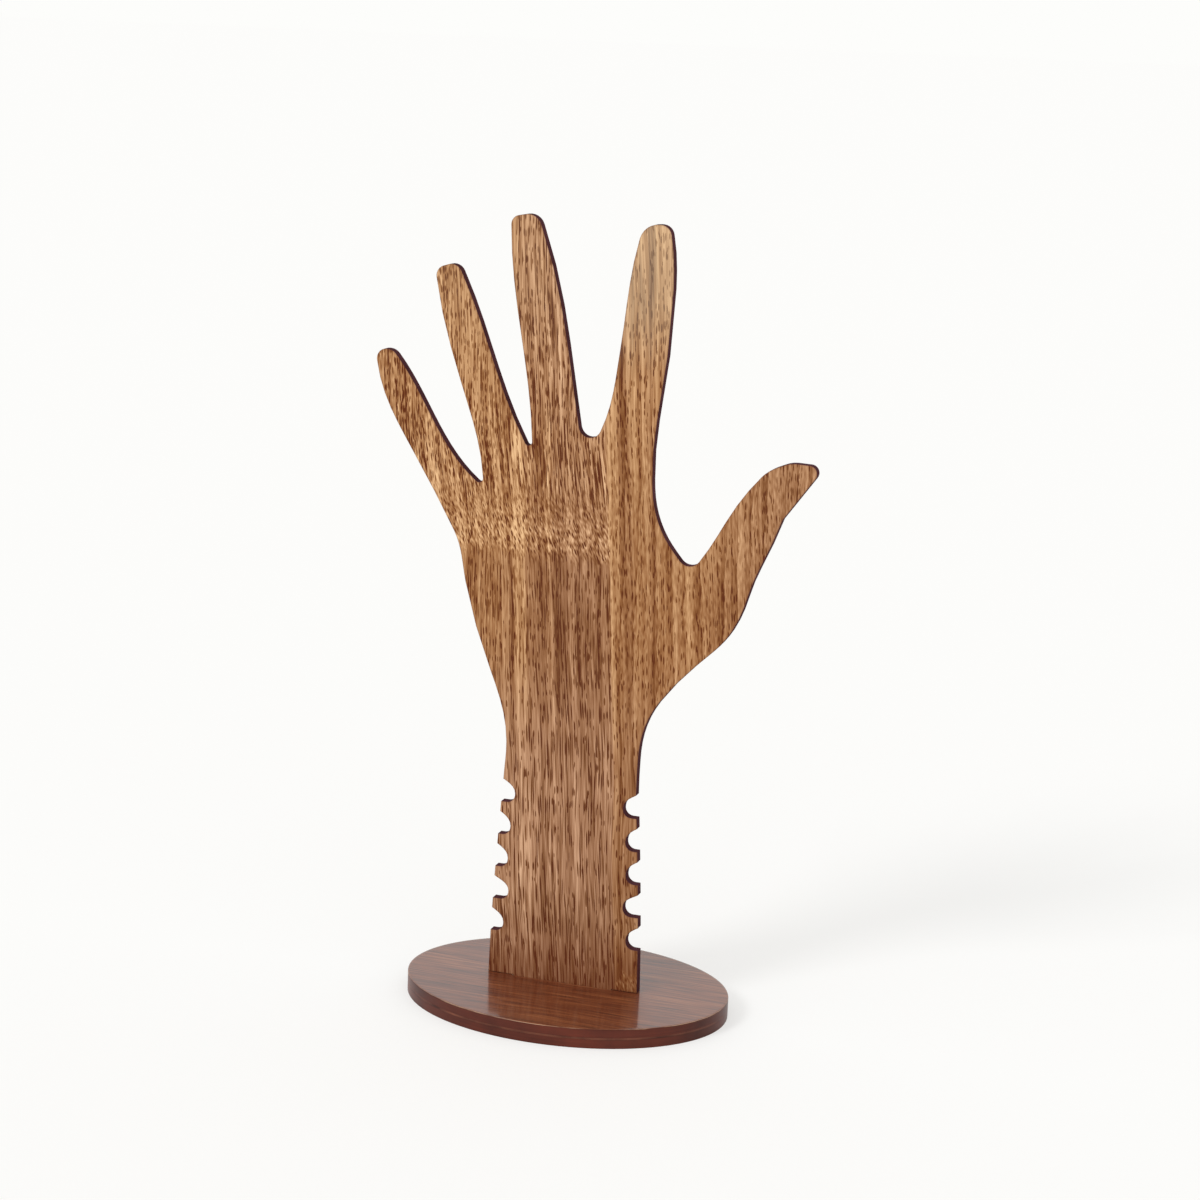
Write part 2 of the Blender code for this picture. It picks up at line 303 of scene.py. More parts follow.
# %% [markdown]
# Walnut veneer is a slice 0.3 to 0.6 mm thin. Cut along the trunk, it shows the growth rings as bands
# from 2 to 15 mm wide that run almost straight up. Its fibres are streaks of every width, and its
# pores, cut lengthwise, are dark dashes a few millimetres long. A sheet this wide is pieced from two
# leaves, so one straight joint runs up the palm, three degrees off plumb, with a honey-coloured leaf
# beyond it. The first leaf has a line across it where the knife met curly grain: below the line the
# fibres run straight, and above it they dive in and out of the cut, so the dashes there are short,
# lean to one side and stand out more.
#
# A photograph of wood could be laid on the sheet, but it would end at its own border and blur when seen
# close. This wood is worked out from numbers instead. A number u says how far across the grain a point
# lies. It leans with the leaves and is bent a little by slow noise. A colour ramp over u lays the broad
# bands, with lightness in its red channel and the share of honey colour in its green one. The cells
# after it add fibres, pores and rings. All of it sums to one number for lightness, and a last pair of
# ramps turns that into wood colours, one from rosy brown and one from honey.

# %% Walnut veneer: bands across the two leaves
GRAIN_LEAN = tan(radians(3.15))
GRAIN_LEVEL = 108.0
JOINT_AT = 14.5
LEAF_SPAN = 100.0

# From the little finger's side to the thumb's: place in mm across the grain, lightness from 0, the
# darkest band, to 1, the palest, and the share of honey colour. A ramp holds 32 stops at most.
BANDS = [
    (-84, 0.00, 0.6),
    (-68, 0.10, 0.7),
    (-60, 0.22, 0.9),
    (-53, 0.28, 1.0),
    (-44, 0.50, 1.0),
    (-36, 0.50, 0.9),
    (-30, 0.44, 0.9),
    (-24.4, 0.30, 0.7),
    (-22.4, 0.94, 1.0),
    (-19, 0.90, 1.0),
    (-18, 0.34, 0.6),
    (-13, 0.10, 0.4),
    (-10, 0.30, 0.5),
    (-8.7, 0.74, 0.6),
    (-7.4, 0.24, 0.3),
    (-3, 0.10, 0.2),
    (0.2, 0.44, 0.3),
    (2, 0.24, 0.2),
    (11, 0.20, 0.3),
    (14.4, 0.26, 0.4),
    (14.7, 0.74, 1.0),
    (18.2, 0.70, 1.0),
    (19.6, 0.18, 0.8),
    (22.5, 0.32, 0.8),
    (24.5, 0.58, 1.0),
    (30, 0.50, 0.9),
    (31.5, 0.36, 0.8),
    (34, 0.62, 1.0),
    (41, 0.52, 0.9),
    (43.5, 0.66, 1.0),
    (58, 0.30, 0.8),
    (80, 0.30, 0.5),
]
print(len(BANDS), "bands from", BANDS[0][0], "to", BANDS[-1][0], "mm")

# %% Walnut veneer: noise in the shape of grain
SOFTLY = {"interpolation_type": "SMOOTHSTEP"}
NOISE_TURN = (0.55, 0.35, 0.65)
print("noise is turned by", NOISE_TURN, "radians")


def grain_cloud(tree, across, along, across_mm, along_mm, detail=0.0, seed=0.0):
    """Noise from -1 to 1 whose grains are about across_mm by along_mm."""
    width = add_node(tree, "Math", [across, across_mm], operation="DIVIDE")
    length = add_node(tree, "Math", [along, along_mm], operation="DIVIDE")
    place = add_node(tree, "CombineXYZ", [width, length, seed])
    # noise repeats its zeros on a square grid, and a turn in space hides the rows
    turned = add_node(tree, "Mapping", {"Vector": place, "Rotation": NOISE_TURN})
    cloud = add_node(tree, "TexNoise", {"Vector": turned, "Scale": 1.0, "Detail": detail})
    return add_node(tree, "MapRange", [cloud, 0.25, 0.75, -1.0, 1.0], clamp=False)


def weighed_up(tree, *terms):
    """The sum of outputs, each given with its weight."""
    total = 0.0
    for part, weight in terms:
        total = add_node(tree, "Math", [part, weight, total], operation="MULTIPLY_ADD")
    return total


# %% [markdown]
# Fibres show as streaks. One noise with much detail would give streaks of every size in one shape, but
# in wood the broad streaks are long and the thin ones short. So each width gets a noise of its own,
# stretched to its own length, and they are added up. Fibres and pores under half a millimetre wide
# wouldn't show from a step away, so the finest are drawn a little wider than life.

# %% Walnut veneer: fibres
# Each layer of fibres: width and length in mm, and strength.
GROWTH_LINES = [(6.0, 400.0, 0.03), (2.6, 300.0, 0.06), (1.2, 160.0, 0.08), (0.6, 60.0, 0.09)]
LONG_FIBRES = [(6.0, 30.0, 0.04), (2.6, 16.0, 0.02), (1.1, 12.0, 0.05), (0.5, 6.0, 0.12)]
SHORT_FIBRES = [(6.0, 30.0, 0.03), (2.6, 14.0, 0.02), (1.1, 3.8, 0.05), (0.5, 2.8, 0.11)]
CURLY_FIBRES = [(6.0, 8.0, 0.02), (2.6, 3.6, 0.02), (1.1, 2.4, 0.06), (0.5, 1.8, 0.16)]
EVEN_FIBRES = [(6.0, 90.0, 0.02), (2.2, 80.0, 0.03), (1.1, 36.0, 0.04), (0.5, 12.0, 0.12)]
print("finest fibres:", LONG_FIBRES[-1][0], "mm wide")


def fibres_of(tree, across, along, layers, seed):
    """The sum of layers of fibres, about -1 to 1."""
    terms = []
    for number, (width, length, strength) in enumerate(layers):
        terms.append((grain_cloud(tree, across, along, width, length, 0.0, seed + 10 * number), strength))
    return weighed_up(tree, *terms)


# %% [markdown]
# A pore is a vessel that once carried water up the trunk. The knife opens it lengthwise, and it is a dark
# dash. Stretched noise would give dashes without clean ends. Here the sheet is divided into long cells,
# each with a point somewhere in it, and a dash is drawn round the point. A second number by chance says
# which cells stay empty. A split is a row of pores in one vessel, and reads as a thin line.

# %% Walnut veneer: pores
# Width and length of one pore in mm.
LONG_PORE = (0.46, 6.0)
SHORT_PORE = (0.46, 2.6)
CURLY_PORE = (0.48, 1.9)
SPLIT = (0.46, 15.0)
PORE_DEPTH = 0.36
SPLIT_DEPTH = 0.26

# Each pore sits in a cell twice its size. By chance it reaches this far out of the cell's middle.
PORE_REACH = (0.16, 0.42)
PORE_CORE = 0.55

print("pores are", CURLY_PORE[1], "to", LONG_PORE[1], "mm long, splits", SPLIT[1], "mm")


def pores_of(tree, across, along, size, crowd, seed):
    """Pores of a size in mm: 1 in a pore and 0 around it. crowd is the share of cells that hold one."""
    width = add_node(tree, "Math", [across, 2.0 * size[0]], operation="DIVIDE")
    length = add_node(tree, "Math", [along, 2.0 * size[1]], operation="DIVIDE")
    place = add_node(tree, "CombineXYZ", [width, length, 0.0])
    moved = add_node(tree, "VectorMath", [place, (seed, 3.7 * seed, 0.0)], operation="ADD")
    away = add_node(tree, "TexVoronoi", {"Vector": moved, "Scale": 1.0}, voronoi_dimensions="2D")
    chance = add_node(tree, "SeparateColor", [away.node.outputs["Color"]])
    reach = add_node(tree, "MapRange", [chance, 0.0, 1.0, *PORE_REACH])
    core = add_node(tree, "Math", [reach, PORE_CORE], operation="MULTIPLY")
    dash = add_node(tree, "MapRange", [away, reach, core, 0.0, 1.0], **SOFTLY)
    kept = add_node(tree, "Math", [chance.node.outputs["Green"], crowd], operation="LESS_THAN")
    return add_node(tree, "Math", [dash, kept], operation="MULTIPLY")


# %% [markdown]
# A growth ring starts pale in spring and darkens until autumn, then the next one starts pale again. A
# saw tooth gives that: it climbs across the ring and falls at once. Between the rings run hair lines,
# drawn where a slow noise passes through zero, because a zero line never ends in the open.

# %% Walnut veneer: rings and hair lines
# For the hair lines: how far apart and how long in mm, and how much of the noise round zero is line.
RING_WIDTH = 6.3
RING_WAVE = 0.13
HAIR_LINES = [(2.6, 110.0, 0.12), (1.5, 60.0, 0.15)]
print("a growth ring every", RING_WIDTH, "mm")


def late_wood(tree, u, z):
    """0 where a growth ring starts, rising to 1 at its dark end."""
    wave = grain_cloud(tree, u, z, 7.0, 13.0, 3.0, 31.0)
    drift = grain_cloud(tree, u, z, 16.0, 120.0, 0.0, 33.0)
    ring = weighed_up(tree, (u, 1 / RING_WIDTH), (wave, RING_WAVE), (drift, 0.5))
    part = add_node(tree, "Math", [ring], operation="FRACT")
    return add_node(tree, "Math", [part, 4.0], operation="POWER")


def hair_lines(tree, u, z):
    """Thin dark lines along the grain, 1 in their middle."""
    lines = 0.0
    for number, (apart, length, reach) in enumerate(HAIR_LINES):
        slow = grain_cloud(tree, u, z, apart, length, 0.0, 41.0 + number)
        from_zero = add_node(tree, "Math", [slow], operation="ABSOLUTE")
        line = add_node(tree, "MapRange", [from_zero, reach, 0.0, 0.0, 1.0], **SOFTLY)
        lines = add_node(tree, "Math", [line, lines], operation="MAXIMUM")
    broken = grain_cloud(tree, u, z, 1.6, 16.0, 1.0, 45.0)
    shown = add_node(tree, "MapRange", [broken, -0.7, 0.5, 0.0, 1.0])
    return add_node(tree, "Math", [lines, shown], operation="MULTIPLY")


# %% [markdown]
# The sheet isn't the same all over. Its two leaves differ, and so do the curly part above the line, the
# wrist, the fingers and a small burl at the foot. Each part gets a mask: a number that is 1 inside it, 0
# outside, and passes softly from one to the other. The recipes below only read the masks, so that one
# part can be changed without touching the rest.

# %% Walnut veneer: where each kind of grain lies
Zones = namedtuple(
    "Zones",
    "first_leaf second_leaf upper golden root bold curly wrist foot fingers middle_finger forefinger"
    " thumb burl",
)
BURL_PLACE = (26.0, -1.9, 8.5)

# Heights in mm between which one kind of grain gives way to another, the second being all of the new.
ABOVE_LINE = (170.5, 177.5)
CURLY_BELOW = (206.0, 182.0)
BOLD_BELOW = (236.0, 200.0)
ROOT_BELOW = (218.0, 202.0)
FINGERS_ABOVE = (208.0, 242.0)
THUMB_ABOVE = (158.0, 190.0)
WRIST_BELOW = (148.0, 88.0)
# the foot is no kind of grain: its mask carries painted shade and a painted red bounce light from the base
FOOT_BELOW = (34.0, 6.0)

# The same for places in mm across the grain.
GOLDEN_SIDE = (-14.0, -34.0)
ROOT_SIDE = (-46.0, -58.0)
PAST_LITTLE_FINGER = (-50.0, -42.0)
PAST_RING_FINGER = (-30.0, -20.0)
THUMB_SIDE = (38.0, 52.0)
BURL_REACH = (8.0, 4.5)
print(len(Zones._fields), "kinds of grain")


def grain_zones(tree, u, x, z, mm, curly):
    """Masks from 0 to 1 for the parts of the sheet whose grain differs. curly is how much curl shows."""
    second_leaf = add_node(tree, "MapRange", [u, JOINT_AT, JOINT_AT + 0.2, 0.0, 1.0], **SOFTLY)
    first_leaf = add_node(tree, "Math", [1.0, second_leaf], operation="SUBTRACT")
    ragged = grain_cloud(tree, x, z, 2.5, 6.0, 1.0, 20.0)
    ragged_z = weighed_up(tree, (z, 1.0), (ragged, 2.5))
    above_line = add_node(tree, "MapRange", [ragged_z, *ABOVE_LINE, 0.0, 1.0], **SOFTLY)
    upper = add_node(tree, "Math", [above_line, first_leaf], operation="MULTIPLY")
    left = add_node(tree, "MapRange", [u, *GOLDEN_SIDE, 0.0, 1.0], **SOFTLY)
    golden = add_node(tree, "Math", [upper, left], operation="MULTIPLY")
    root_height = add_node(tree, "MapRange", [z, *ROOT_BELOW, 0.0, 1.0], **SOFTLY)
    root_side = add_node(tree, "MapRange", [u, *ROOT_SIDE, 0.0, 1.0], **SOFTLY)
    root_place = add_node(tree, "Math", [root_height, root_side], operation="MULTIPLY")
    root = add_node(tree, "Math", [root_place, golden], operation="MULTIPLY")
    below_fingers = add_node(tree, "MapRange", [z, *BOLD_BELOW, 0.0, 1.0], **SOFTLY)
    bold = add_node(tree, "Math", [upper, below_fingers], operation="MULTIPLY")
    near_line = add_node(tree, "MapRange", [z, *CURLY_BELOW, 0.0, curly], **SOFTLY)
    curl = add_node(tree, "Math", [upper, near_line], operation="MULTIPLY")
    wrist = add_node(tree, "MapRange", [z, *WRIST_BELOW, 0.0, 1.0], **SOFTLY)
    foot = add_node(tree, "MapRange", [z, *FOOT_BELOW, 0.0, 1.0])
    finger_height = add_node(tree, "MapRange", [z, *FINGERS_ABOVE, 0.0, 1.0], **SOFTLY)
    past_little = add_node(tree, "MapRange", [u, *PAST_LITTLE_FINGER, 0.0, 1.0], **SOFTLY)
    fingers = add_node(tree, "Math", [finger_height, past_little], operation="MULTIPLY")
    past_ring = add_node(tree, "MapRange", [u, *PAST_RING_FINGER, 0.0, 1.0], **SOFTLY)
    middle_side = add_node(tree, "Math", [past_ring, first_leaf], operation="MULTIPLY")
    middle = add_node(tree, "Math", [finger_height, middle_side], operation="MULTIPLY")
    fore = add_node(tree, "Math", [fingers, second_leaf], operation="MULTIPLY")
    thumb_height = add_node(tree, "MapRange", [z, *THUMB_ABOVE, 0.0, 1.0], **SOFTLY)
    thumb_side = add_node(tree, "MapRange", [u, *THUMB_SIDE, 0.0, 1.0], **SOFTLY)
    thumb = add_node(tree, "Math", [thumb_height, thumb_side], operation="MULTIPLY")
    from_burl = add_node(tree, "VectorMath", [mm, BURL_PLACE], operation="DISTANCE")
    ragged_burl = weighed_up(tree, (from_burl, 1.0), (ragged, 2.0))
    burl = add_node(tree, "MapRange", [ragged_burl, *BURL_REACH, 0.0, curly], **SOFTLY)
    return Zones(
        first_leaf, second_leaf, upper, golden, root, bold, curl, wrist, foot, fingers, middle, fore,
        thumb, burl
    )


# %% [markdown]
# Now the wood is put together in three steps. Texture is all that is finer than the bands. Lightness adds
# the bands and the large differences between the parts. Colour comes last and follows lightness, because
# in real wood a darker place is also a redder one. A tint laid over grey noise would look painted.

# %% Walnut veneer: its texture
CURLY_SLANT = tan(radians(11))
print("curly grain leans", round(CURLY_SLANT, 2), "mm for each mm of height")


def wood_texture(tree, u, z, zones, growth):
    """All that is finer than the bands: how much lighter or darker it is, and the open pores."""
    crowd = weighed_up(
        tree, (growth, -1.8), (zones.upper, 0.15), (zones.second_leaf, 0.34), (zones.first_leaf, 0.50)
    )
    shorter = add_node(tree, "Math", [zones.second_leaf, zones.golden], operation="MAXIMUM")
    long_fibres = fibres_of(tree, u, z, LONG_FIBRES, 2.0)
    short_fibres = fibres_of(tree, u, z, SHORT_FIBRES, 3.0)
    fibres = add_node(tree, "Mix", [shorter, long_fibres, short_fibres])
    even = add_node(tree, "Math", [zones.wrist, zones.fingers], operation="MAXIMUM")
    fibres = add_node(tree, "Mix", [even, fibres, fibres_of(tree, u, z, EVEN_FIBRES, 6.0)])

    long_pores = pores_of(tree, u, z, LONG_PORE, crowd, 51.0)
    short_pores = pores_of(tree, u, z, SHORT_PORE, crowd, 52.0)
    pores = add_node(tree, "Mix", [shorter, long_pores, short_pores])
    few = weighed_up(
        tree, (crowd, 1.0), (zones.wrist, -0.32), (zones.fingers, -0.14), (zones.forefinger, 0.24)
    )
    pores = add_node(tree, "Math", [pores, pores_of(tree, u, z, SHORT_PORE, few, 57.0)], operation="MAXIMUM")
    many = weighed_up(tree, (crowd, 1.5), (zones.wrist, 0.6))
    splits = pores_of(tree, u, z, SPLIT, many, 59.0)
    splits = add_node(tree, "Math", [splits, zones.first_leaf], operation="MULTIPLY")

    # in the curly zone and the burl everything is short and leans
    slant = weighed_up(tree, (u, 1.0), (z, CURLY_SLANT))
    curl = add_node(tree, "Math", [zones.curly, zones.burl], operation="MAXIMUM")
    fibres = add_node(tree, "Mix", [curl, fibres, fibres_of(tree, slant, z, CURLY_FIBRES, 4.0)])
    pores = add_node(tree, "Mix", [curl, pores, pores_of(tree, slant, z, CURLY_PORE, crowd, 53.0)])
    splits = add_node(tree, "Mix", [curl, splits, 0.0])

    contrast = weighed_up(tree, (zones.upper, 0.43), (zones.bold, 0.35), (zones.wrist, 0.42))
    contrast = weighed_up(tree, (contrast, 1.0), (zones.fingers, -0.22), (zones.middle_finger, 0.26))
    contrast = weighed_up(tree, (contrast, 1.0), (zones.forefinger, 0.66), (1.0, 1.0))
    texture = weighed_up(
        tree, (fibres, 1.0), (growth, 0.25), (pores, -PORE_DEPTH), (splits, -SPLIT_DEPTH)
    )
    return add_node(tree, "Math", [texture, contrast], operation="MULTIPLY"), pores


# %% Walnut veneer: its lightness
FOREFINGER = (150.0, 295.0)
CALM_BAND = 0.40
MIDDLE_FINGER_SIDES = (-21.0, -5.0)
MIDDLE_FINGER_TONES = (0.08, 0.42)
PLAIN_LIGHTNESS = 0.295
print("plain wood has a lightness of", PLAIN_LIGHTNESS)


def wood_lightness(tree, u, z, zones, growth, texture, band):
    """From 0, the darkest brown, to 1, the palest."""
    # the bands fade out in the wrist, and the middle finger is darker towards its left side
    calm = add_node(tree, "Math", [zones.wrist, 0.6], operation="MULTIPLY")
    band = add_node(tree, "Mix", [calm, band, CALM_BAND])
    shaded = add_node(tree, "MapRange", [u, *MIDDLE_FINGER_SIDES, *MIDDLE_FINGER_TONES])
    band = add_node(tree, "Mix", [zones.middle_finger, band, shaded])
    # the second leaf gets paler towards the forefinger's tip
    height = add_node(tree, "MapRange", [z, *FOREFINGER])
    tip = add_node(tree, "Math", [height, 3.0], operation="POWER")
    pale_tip = add_node(tree, "Math", [tip, zones.second_leaf], operation="MULTIPLY")
    golden_tips = add_node(tree, "Math", [height, zones.golden], operation="MULTIPLY")
    ring_finger = add_node(tree, "Math", [zones.fingers, zones.golden], operation="MULTIPLY")
    honey_wrist = add_node(tree, "Math", [zones.wrist, zones.second_leaf], operation="MULTIPLY")
    rings = add_node(tree, "Math", [late_wood(tree, u, z), zones.second_leaf], operation="MULTIPLY")
    fewer = add_node(tree, "Math", [zones.wrist, -0.6, 1.0], operation="MULTIPLY_ADD")
    hairs = add_node(tree, "Math", [hair_lines(tree, u, z), fewer], operation="MULTIPLY")
    hairs = add_node(tree, "Math", [hairs, zones.first_leaf], operation="MULTIPLY")
    # (height, 0.06) makes the whole sheet a little lighter towards the top: painted light from above
    large = weighed_up(
        tree, (band, 0.50), (zones.upper, 0.12), (golden_tips, 0.10), (zones.root, 0.16), (height, 0.06)
    )
    large = weighed_up(
        tree, (large, 1.0), (pale_tip, 0.31), (zones.middle_finger, 0.03), (zones.thumb, 0.13)
    )
    large = weighed_up(
        tree, (large, 1.0), (zones.wrist, 0.08), (zones.second_leaf, -0.05), (ring_finger, -0.07)
    )
    # the foot's -0.15 is painted shade, where the base shades the bottom of the hand
    large = weighed_up(tree, (large, 1.0), (honey_wrist, -0.07), (zones.foot, -0.15), (zones.burl, 0.10))
    fine = weighed_up(tree, (growth, 0.75), (texture, 1.0), (rings, -0.29), (hairs, -0.24))
    return weighed_up(tree, (large, 1.0), (fine, 1.0), (1.0, PLAIN_LIGHTNESS))


# %% Walnut veneer: its colour
ROSY_TONES = [
    (0.0, "#58270c"),
    (0.214, "#784b29"),
    (0.429, "#976a4a"),
    (0.643, "#b68969"),
    (0.857, "#d4a886"),
    (1.0, "#e6bc9a"),
]
HONEY_TONES = [
    (0.0, "#5d2603"),
    (0.214, "#7d4a20"),
    (0.429, "#9c6a40"),
    (0.643, "#b98a5e"),
    (0.857, "#d7a97b"),
    (1.0, "#eabe8d"),
]
BEIGE_TIP = "#b9a78c"
MINERAL_GREY = "#624e42"
# painted light: the red that the lacquered base throws back onto the hand's foot
FOOT_BOUNCE_RED = "#79381f"
BROWNED = "#6d3f2c"
TIP_ABOVE = (238.0, 275.0)
print(len(ROSY_TONES), "rosy tones and", len(HONEY_TONES), "honey tones")


def wood_colour(tree, u, z, zones, lightness, honey_share):
    """Rosy brown or honey by the share, beige at the tip, a painted red bounce light at the foot, browned at
    the cut.
    """
    # the wrist, above all in its first leaf, and the middle finger are rosier than their bands
    rosy_wrist = add_node(tree, "Math", [zones.wrist, zones.first_leaf], operation="MULTIPLY")
    rosier = weighed_up(tree, (zones.wrist, 0.40), (rosy_wrist, 0.45), (zones.middle_finger, 0.6))
    rosier = weighed_up(tree, (rosier, 1.0), (zones.upper, -0.1))
    kept = add_node(tree, "Math", [1.0, rosier], operation="SUBTRACT", use_clamp=True)
    honey_share = add_node(tree, "Math", [honey_share, kept], operation="MULTIPLY")
    honey_share = weighed_up(tree, (honey_share, 1.0), (zones.upper, 0.28), (zones.burl, 0.5))
    rosy = add_node(tree, "ValToRGB", [lightness], stops=ROSY_TONES)
    honey = add_node(tree, "ValToRGB", [lightness], stops=HONEY_TONES)
    colour = add_node(tree, "Mix", [honey_share, rosy, honey], data_type="RGBA")

    # towards the forefinger's tip the honey fades to beige, and grey mineral streaks run along it
    tip = add_node(tree, "MapRange", [z, *TIP_ABOVE, 0.0, 1.0], **SOFTLY)
    faded = weighed_up(tree, (zones.second_leaf, 0.24), (1.0, 0.05))
    faded_share = add_node(tree, "Math", [tip, faded], operation="MULTIPLY")
    colour = add_node(tree, "Mix", [faded_share, colour, BEIGE_TIP], data_type="RGBA")
    streaks = add_node(tree, "MapRange", [grain_cloud(tree, u, z, 1.6, 60.0, 3.0, 71.0), 0.1, 0.7, 0.0, 0.55])
    streaked = add_node(tree, "Math", [streaks, zones.second_leaf], operation="MULTIPLY")
    streak_share = add_node(tree, "Math", [streaked, tip], operation="MULTIPLY")
    colour = add_node(tree, "Mix", [streak_share, colour, MINERAL_GREY], data_type="RGBA")
    # painted red bounce light from the base, over the foot
    foot_bounce_share = add_node(tree, "Math", [zones.foot, 0.36], operation="MULTIPLY")
    colour = add_node(tree, "Mix", [foot_bounce_share, colour, FOOT_BOUNCE_RED], data_type="RGBA")
    near_cut = add_node(tree, "Attribute", output="Fac", attribute_name="browned")
    seared = add_node(tree, "Math", [near_cut, 2.5], operation="POWER")
    seared_share = add_node(tree, "Math", [seared, 0.45], operation="MULTIPLY")
    return add_node(tree, "Mix", [seared_share, colour, BROWNED], data_type="RGBA")


# %% [markdown]
# The material reads the piece's own coordinates in millimetres, so the grain moves with the hand when it
# is lifted out. Pores are open grooves, and so they are also pressed in by a small bump and made rougher.
# Sanded wood without a finish scatters light from its open cells and hardly shines. It is rough, and its
# IOR was brought down from the 1.5 of cellulose until it looked right.

# %% Walnut veneer: the material
LEAN_IN_HEIGHTS = (173.0, 218.0)
LEAN_IN = 2.9
WOOD_ROUGHNESS = 0.55
PORE_ROUGHNESS = 0.12
WOOD_IOR = 1.25


def walnut_veneer(name, shift_across, shift_along, curly):
    """Walnut with an upright grain. Shifts, in mm, take the leaf from another place in the log."""
    material, tree = new_material(name)
    place = add_node(tree, "TexCoord", output="Object")
    mm = add_node(tree, "VectorMath", [place, (1000.0, 1000.0, 1000.0)], operation="MULTIPLY")
    axes = add_node(tree, "SeparateXYZ", [mm]).node.outputs
    x = add_node(tree, "Math", [axes["X"], shift_across], operation="ADD")
    z = add_node(tree, "Math", [axes["Z"], shift_along], operation="ADD")
    rise = add_node(tree, "Math", [z, GRAIN_LEVEL], operation="SUBTRACT")
    # the grain wanders slowly by a millimetre, and faster by half of that
    slow = grain_cloud(tree, x, z, 26.0, 80.0, 1.0, 3.0)
    quick = grain_cloud(tree, x, z, 7.0, 34.0, 1.0, 8.0)
    u = weighed_up(tree, (x, 1.0), (rise, GRAIN_LEAN), (slow, 0.9), (quick, 0.45))

    across_span = add_node(tree, "MapRange", [u, -LEAF_SPAN, LEAF_SPAN, 0.0, 1.0])
    stops = [((at + LEAF_SPAN) / (2 * LEAF_SPAN), (tone, honey, 0.0, 1.0)) for at, tone, honey in BANDS]
    bands = add_node(tree, "SeparateColor", [add_node(tree, "ValToRGB", [across_span], stops=stops)])
    zones = grain_zones(tree, u, x, z, mm, curly)

    # above its line the first leaf's grain leans in towards the joint for a while
    lean_in = add_node(tree, "MapRange", [z, *LEAN_IN_HEIGHTS, 0.0, LEAN_IN])
    moved = add_node(tree, "Math", [lean_in, zones.first_leaf], operation="MULTIPLY")
    u = add_node(tree, "Math", [u, moved], operation="ADD")

    growth = fibres_of(tree, u, z, GROWTH_LINES, 1.0)
    # the growth lines are calmer in the wrist and the forefinger
    calm = weighed_up(tree, (zones.wrist, -0.55), (zones.forefinger, -0.30), (1.0, 1.0))
    growth = add_node(tree, "Math", [growth, calm], operation="MULTIPLY")
    texture, pores = wood_texture(tree, u, z, zones, growth)
    lightness = wood_lightness(tree, u, z, zones, growth, texture, bands)
    colour = wood_colour(tree, u, z, zones, lightness, bands.node.outputs["Green"])
    depth = {"Height": pores, "Strength": 0.5, "Distance": 0.05 * MM}
    relief = add_node(tree, "Bump", depth, invert=True)
    roughness = add_node(tree, "Math", [pores, PORE_ROUGHNESS, WOOD_ROUGHNESS], operation="MULTIPLY_ADD")
    look = {"Base Color": colour, "Roughness": roughness, "IOR": WOOD_IOR, "Normal": relief}
    add_node(tree, "OutputMaterial", [add_node(tree, "BsdfPrincipled", look)])
    return material


walnut_front = walnut_veneer("walnut veneer, front", 0.0, 0.0, 1.0)
walnut_back = walnut_veneer("walnut veneer, back", 37.0, -46.0, 0.0)
print("walnut uses", len(walnut_front.node_tree.nodes), "nodes")

# %% [markdown]
# A laser burns its way through board, and leaves an edge of dark brown char with a matt, faintly
# purple look. Its beam pulses, which leaves fine lines across the edge, straight from face to face.
# The lines come from noise that changes along the edge but not across the sheet, so the y axis is
# squeezed flat. Char is porous and hardly mirrors anything: it has a low IOR and is rough.


# %% Charred edge of the hand
CHAR_ROUGHNESS = 0.9
CHAR_IOR = 1.12


def charred_edge(name, dark, pale):
    """Laser-cut board edge of the upright sheet."""
    material, tree = new_material(name)
    place = add_node(tree, "TexCoord", output="Object")
    flat = add_node(tree, "VectorMath", [place, (1.0, 0.02, 1.0)], operation="MULTIPLY")
    # marks over a millimetre long: the real lines, six times finer, wouldn't show
    pulses = add_node(tree, "TexNoise", {"Vector": flat, "Scale": 700.0, "Detail": 2.0})
    # patches about 7 mm wide, where the laser went slower or faster
    patches = add_node(tree, "TexNoise", {"Vector": place, "Scale": 140.0, "Detail": 3.0})
    tone = add_node(tree, "Math", [pulses, 0.12, patches], operation="MULTIPLY_ADD")
    share = add_node(tree, "MapRange", [tone, 0.26, 0.86])
    colour = add_node(tree, "Mix", [share, dark, pale], data_type="RGBA")
    relief = add_node(tree, "Bump", {"Height": pulses, "Strength": 0.15, "Distance": 0.06 * MM})
    look = {"Base Color": colour, "Roughness": CHAR_ROUGHNESS, "IOR": CHAR_IOR, "Normal": relief}
    add_node(tree, "OutputMaterial", [add_node(tree, "BsdfPrincipled", look)])
    return material


hand_char = charred_edge("charred board edge", "#3c1d21", "#5a343a")
print("char uses", len(hand_char.node_tree.nodes), "nodes")

# %% [markdown]
# The base's edge was sanded, wiped with red-brown stain and lacquered with the rest of the base. The
# cloth went round the oval, so what is left of the board's layers shows as faint level lines: noise
# that changes fast from bottom to top and slowly along the edge. Halfway up, where the two boards meet,
# the edges of two thin veneers took less stain and make a slightly paler line. At the rim a hair-wide
# pale line runs round: partly where the lacquer has thinned in places, partly a painted highlight.


# %% Stained edge of the base
# Lacquer has an IOR of about 1.5, but most of it sinks into a cut edge, which mirrors less.
STAIN_ROUGHNESS = 0.36
STAIN_IOR = 1.32


